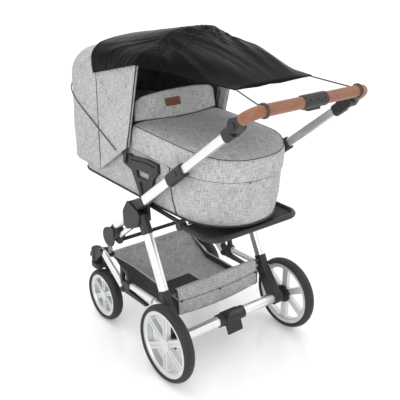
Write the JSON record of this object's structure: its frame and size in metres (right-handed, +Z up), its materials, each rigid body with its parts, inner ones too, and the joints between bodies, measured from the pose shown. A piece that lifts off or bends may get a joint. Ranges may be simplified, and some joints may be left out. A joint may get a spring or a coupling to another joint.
{
  "type": "baby stroller",
  "caption": "Folding baby stroller with a carrycot, a hood, an extending handle, swivel front wheels and a tied-on sunshade.",
  "frame": {"origin": "on the floor under the middle of the stroller's bounding box, cords left out", "axes": "+Z up, +Y towards the push handle, X across the stroller, which is symmetric about X = 0"},
  "size_m": [0.589, 1.0977, 1.0988],
  "materials": {
    "black_plastic": "satin moulded plastic with a fine grain",
    "black_steel": "black powder coat",
    "silver_tube": "satin anodised tube",
    "silver_rim": "silver painted plastic",
    "rubber": "matt rubber",
    "leather": "stitched brown imitation leather",
    "grey_fabric": "light grey melange woven cloth",
    "mattress_fabric": "pale quilted cloth",
    "shade_fabric": "thin black polyester",
    "cord_black": "round braided elastic"
  },
  "bodies": {
    "chassis_base": {"swivel_housings": "black_plastic", "lower_frame_tubes": "silver_tube", "frame_brackets": "black_plastic", "front_rail": "black_steel", "basket": "grey_fabric"},
    "front_links": {"link_tubes": "silver_tube"},
    "upper_links": {"joint_plates": "black_plastic", "upper_link_tubes": "silver_tube", "round_plates": "black_plastic", "cross_bar": "black_plastic"},
    "rear_legs": {"rear_leg_tubes": "silver_tube", "leg_sleeves": "black_plastic", "rear_feet": "black_plastic", "axle_tube": "silver_tube", "axle_fittings": "black_plastic", "basket_rail": "black_steel"},
    "brake_pedal": {"brake_pedal": "black_plastic"},
    "rear_wheel_left": {"rear_rim_left": "silver_rim", "rear_tyre_left": "rubber", "brake_drum_left": "black_plastic"},
    "rear_wheel_right": {"rear_rim_right": "silver_rim", "rear_tyre_right": "rubber", "brake_drum_right": "black_plastic"},
    "caster_left": {"caster_fork_left": "black_plastic"},
    "caster_right": {"caster_fork_right": "black_plastic"},
    "front_wheel_left": {"front_rim_left": "silver_rim", "front_tyre_left": "rubber"},
    "front_wheel_right": {"front_rim_right": "silver_rim", "front_tyre_right": "rubber"},
    "swivel_lock_left": {"swivel_lock_left": "black_plastic"},
    "swivel_lock_right": {"swivel_lock_right": "black_plastic"},
    "pusher": {"pusher_tubes": "silver_tube", "pusher_knuckles": "black_plastic", "pusher_collars": "black_plastic"},
    "pusher_upper": {"extension_tubes": "silver_tube", "adjuster_housings": "black_plastic"},
    "grip": {"tilt_housings": "black_plastic", "handle_bar": "black_steel", "leather_grips": "leather", "handle_housing": "black_plastic"},
    "tilt_button_left": {"tilt_button_left": "black_plastic"},
    "tilt_button_right": {"tilt_button_right": "black_plastic"},
    "release_trigger": {"release_trigger": "black_plastic"},
    "seat_unit": {"seat_brackets": "black_plastic", "seat_rails": "black_steel", "cot_shell": "grey_fabric", "mattress": "mattress_fabric", "apron": "grey_fabric", "hood_rear_panel": "grey_fabric"},
    "apron_flap": {"apron_flap": "grey_fabric"},
    "footrest": {"footrest_frame": "black_steel"},
    "hood_mid": {"hood_mid_bow": "black_steel"},
    "hood_front": {"hood_front_bow": "black_steel", "hood_front_panel": "grey_fabric"},
    "sun_shade": {"sun_shade": "shade_fabric", "shade_cord_left": "cord_black", "shade_cord_right": "cord_black", "shade_cord_back": "cord_black"}
  },
  "joints": [
    {"name": "front_link_fold", "type": "hinge", "parent": "chassis_base", "child": "front_links", "pos_m": [0, -0.246, 0.281], "axis": [1, 0, 0], "range_deg": [0, 80]},
    {"name": "upper_link_fold", "type": "hinge", "parent": "front_links", "child": "upper_links", "pos_m": [0, -0.194, 0.361], "axis": [1, 0, 0], "range_deg": [-96.87, 0]},
    {"name": "pusher_fold", "type": "hinge", "parent": "upper_links", "child": "pusher", "pos_m": [0, -0.054, 0.536], "axis": [1, 0, 0], "range_deg": [0, 160]},
    {"name": "rear_leg_fold", "type": "hinge", "parent": "chassis_base", "child": "rear_legs", "pos_m": [0, 0.141, 0.225], "axis": [1, 0, 0], "range_deg": [0, 21.78]},
    {"name": "brake_pedal_tilt", "type": "hinge", "parent": "rear_legs", "child": "brake_pedal", "pos_m": [0, 0.209, 0.135], "axis": [1, 0, 0], "range_deg": [0, 20]},
    {"name": "rear_wheel_left_spin", "type": "hinge", "parent": "rear_legs", "child": "rear_wheel_left", "pos_m": [0.273, 0.209, 0.135], "axis": [1, 0, 0], "continuous": true},
    {"name": "caster_left_swivel", "type": "hinge", "parent": "chassis_base", "child": "caster_left", "pos_m": [0.236, -0.294, 0.25], "axis": [0, 0, 1], "continuous": true},
    {"name": "front_wheel_left_spin", "type": "hinge", "parent": "caster_left", "child": "front_wheel_left", "pos_m": [0.236, -0.243, 0.1], "axis": [1, 0, 0], "continuous": true},
    {"name": "swivel_lock_left_lift", "type": "hinge", "parent": "chassis_base", "child": "swivel_lock_left", "pos_m": [0.236, -0.3205, 0.25], "axis": [1, 0, 0], "range_deg": [-25, 0]},
    {"name": "tilt_button_left_press", "type": "slide", "parent": "grip", "child": "tilt_button_left", "axis": [1, 0, 0], "range_m": [-0.002, 0]},
    {"name": "rear_wheel_right_spin", "type": "hinge", "parent": "rear_legs", "child": "rear_wheel_right", "pos_m": [-0.273, 0.209, 0.135], "axis": [1, 0, 0], "continuous": true},
    {"name": "caster_right_swivel", "type": "hinge", "parent": "chassis_base", "child": "caster_right", "pos_m": [-0.236, -0.294, 0.25], "axis": [0, 0, 1], "continuous": true},
    {"name": "front_wheel_right_spin", "type": "hinge", "parent": "caster_right", "child": "front_wheel_right", "pos_m": [-0.236, -0.243, 0.1], "axis": [1, 0, 0], "continuous": true},
    {"name": "swivel_lock_right_lift", "type": "hinge", "parent": "chassis_base", "child": "swivel_lock_right", "pos_m": [-0.236, -0.3205, 0.25], "axis": [1, 0, 0], "range_deg": [-25, 0]},
    {"name": "tilt_button_right_press", "type": "slide", "parent": "grip", "child": "tilt_button_right", "axis": [-1, 0, 0], "range_m": [-0.002, 0]},
    {"name": "handle_extend", "type": "slide", "parent": "pusher", "child": "pusher_upper", "axis": [0, 0.7837, 0.6211], "range_m": [-0.12, 0.04]},
    {"name": "handle_tilt", "type": "hinge", "parent": "pusher_upper", "child": "grip", "pos_m": [0, 0.468, 0.93], "axis": [1, 0, 0], "range_deg": [-60, 50]},
    {"name": "release_trigger_squeeze", "type": "slide", "parent": "grip", "child": "release_trigger", "axis": [0, 0, 1], "range_m": [0, 0.003]},
    {"name": "seat_unit_lift", "type": "slide", "parent": "chassis_base", "child": "seat_unit", "axis": [0, -0.8, 0.6], "range_m": [0, 2.1]},
    {"name": "apron_flap_fold", "type": "hinge", "parent": "seat_unit", "child": "apron_flap", "pos_m": [0, -0.0703, 0.8043], "axis": [-1, 0, 0], "range_deg": [0, 80]},
    {"name": "footrest_tilt", "type": "hinge", "parent": "seat_unit", "child": "footrest", "pos_m": [0, 0.172, 0.5217], "axis": [1, 0, 0], "range_deg": [-60, 0]},
    {"name": "hood_mid_fold", "type": "hinge", "parent": "seat_unit", "child": "hood_mid", "pos_m": [0, -0.126, 0.665], "axis": [1, 0, 0], "range_deg": [0, 35], "deforming": ["hood_rear_panel", "sun_shade"]},
    {"name": "hood_front_fold", "type": "hinge", "parent": "hood_mid", "child": "hood_front", "pos_m": [0, -0.126, 0.665], "axis": [1, 0, 0], "range_deg": [0, 35], "deforming": ["hood_front_panel"]},
    {"name": "shade_lift_off", "type": "slide", "parent": "hood_front", "child": "sun_shade", "axis": [0, 0, 1], "range_m": [0, 0.3], "deforming": ["shade_cord_left", "shade_cord_right", "shade_cord_back"]}
  ],
  "couplings": [
    {"joint": "upper_link_fold", "follows": "front_link_fold", "ratio": -1.2109},
    {"joint": "pusher_fold", "follows": "front_link_fold", "ratio": 2},
    {"joint": "rear_leg_fold", "follows": "front_link_fold", "ratio": 0.27225},
    {"joint": "seat_unit_lift", "follows": "front_link_fold", "m_per_rad": 1.504},
    {"joint": "hood_front_fold", "follows": "hood_mid_fold", "ratio": 1}
  ]
}
